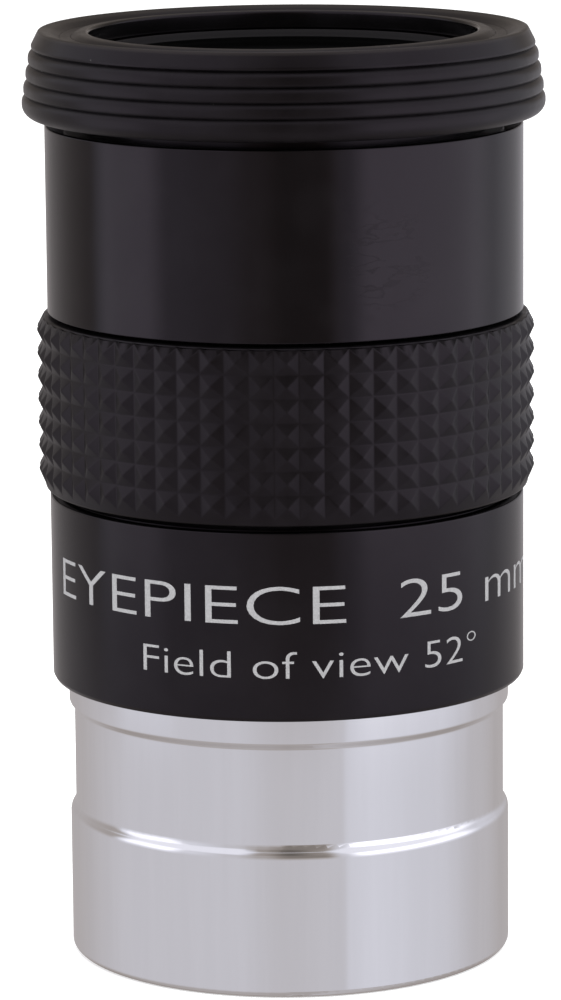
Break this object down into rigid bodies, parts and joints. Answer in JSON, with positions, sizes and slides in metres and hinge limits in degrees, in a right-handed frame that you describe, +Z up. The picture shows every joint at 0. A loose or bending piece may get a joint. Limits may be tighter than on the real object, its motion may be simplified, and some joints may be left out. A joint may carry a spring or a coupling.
{
  "type": "telescope eyepiece",
  "caption": "Push-fit telescope eyepiece: plated barrel with a safety undercut, black housing with a pyramid-pattern rubber grip, four-lens group and a fold-down rubber eye guard.",
  "frame": {"origin": "centre of the barrel's open end, on the surface that the eyepiece stands on", "axes": "+Z up the optical axis, from the telescope to the eye; +Y away from the viewer of the printed side, +X to the right"},
  "size_m": [0.037, 0.037, 0.0664],
  "materials": {
    "chrome": "polished",
    "black_anodised": "gloss",
    "matt_black": "matte",
    "rubber": "satin",
    "guard_rubber": "matte",
    "crown_glass": "polished",
    "flint_glass": "polished"
  },
  "bodies": {
    "housing": {"housing": "black_anodised", "lens_cell": "matt_black", "cell_lock_ring": "matt_black", "field_flint_lens": "flint_glass", "field_crown_lens": "crown_glass", "lens_spacer": "matt_black", "eye_crown_lens": "crown_glass", "eye_flint_lens": "flint_glass", "eye_lens_ring": "matt_black", "grip_sleeve": "rubber", "guard_collar": "guard_rubber", "guard_wall": "guard_rubber"},
    "field_stop": {"field_stop": "matt_black"},
    "barrel": {"barrel": "chrome", "field_stop_lock_ring": "matt_black"},
    "guard_skirt": {"guard_skirt": "guard_rubber"}
  },
  "joints": [
    {"name": "housing_turn", "type": "hinge", "parent": "barrel", "child": "field_stop", "pos_m": [0, 0, 0.0202], "axis": [0, 0, 1], "range_deg": [0, 1800]},
    {"name": "housing_travel", "type": "slide", "parent": "field_stop", "child": "housing", "axis": [0, 0, 1], "range_m": [0, 0.00375]},
    {"name": "guard_raise", "type": "slide", "parent": "housing", "child": "guard_skirt", "axis": [0, 0, 1], "range_m": [0, 0.0062], "deforming": ["guard_wall"]}
  ],
  "couplings": [
    {"joint": "housing_travel", "follows": "housing_turn", "m_per_rad": 0.00011937}
  ]
}
